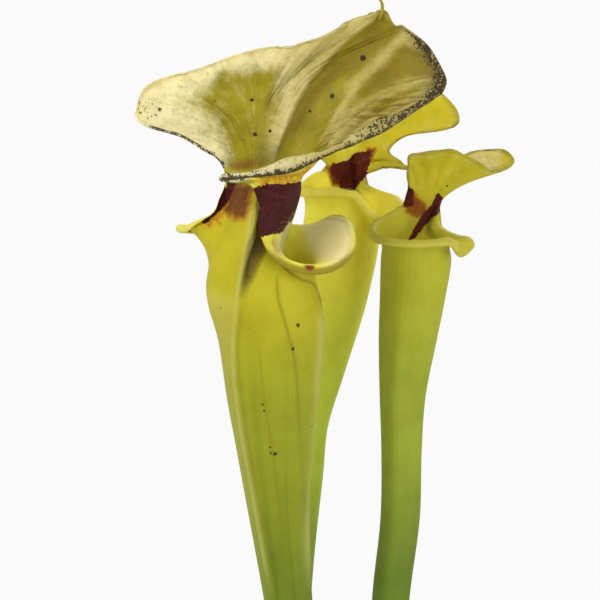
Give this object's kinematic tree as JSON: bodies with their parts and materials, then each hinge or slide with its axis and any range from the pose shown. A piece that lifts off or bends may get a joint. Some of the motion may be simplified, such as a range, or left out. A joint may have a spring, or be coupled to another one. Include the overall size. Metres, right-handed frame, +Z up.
{
  "type": "potted yellow pitcher plant",
  "caption": "Potted carnivorous plant: tall tubular pitcher leaves with rolled lips and raised hoods, rising from a rhizome in potting mix in a plain round pot.",
  "frame": {"origin": "centre of the pot's flat base", "axes": "+Z up along the plant; -Y towards the side that the picture shows, where the front leaf turns its back; +X to that view's right"},
  "size_m": [0.1311, 0.1284, 0.5003],
  "materials": {
    "pot": "slightly satin moulded plastic, dusty",
    "soil": "rough crumbly peat mix with moss and perlite",
    "rhizome": "rough reddish brown stem with old leaf scars",
    "leaf_front": "semi-gloss olive-yellow leaf, bleached and speckled hood, maroon throat",
    "leaf_back": "semi-gloss yellow-green leaf, maroon throat"
  },
  "bodies": {
    "root": {"pot": "pot", "soil": "soil", "rhizome": "rhizome", "pitcher_front": "leaf_front", "pitcher_middle": "leaf_back", "pitcher_right": "leaf_back"}
  },
  "joints": []
}
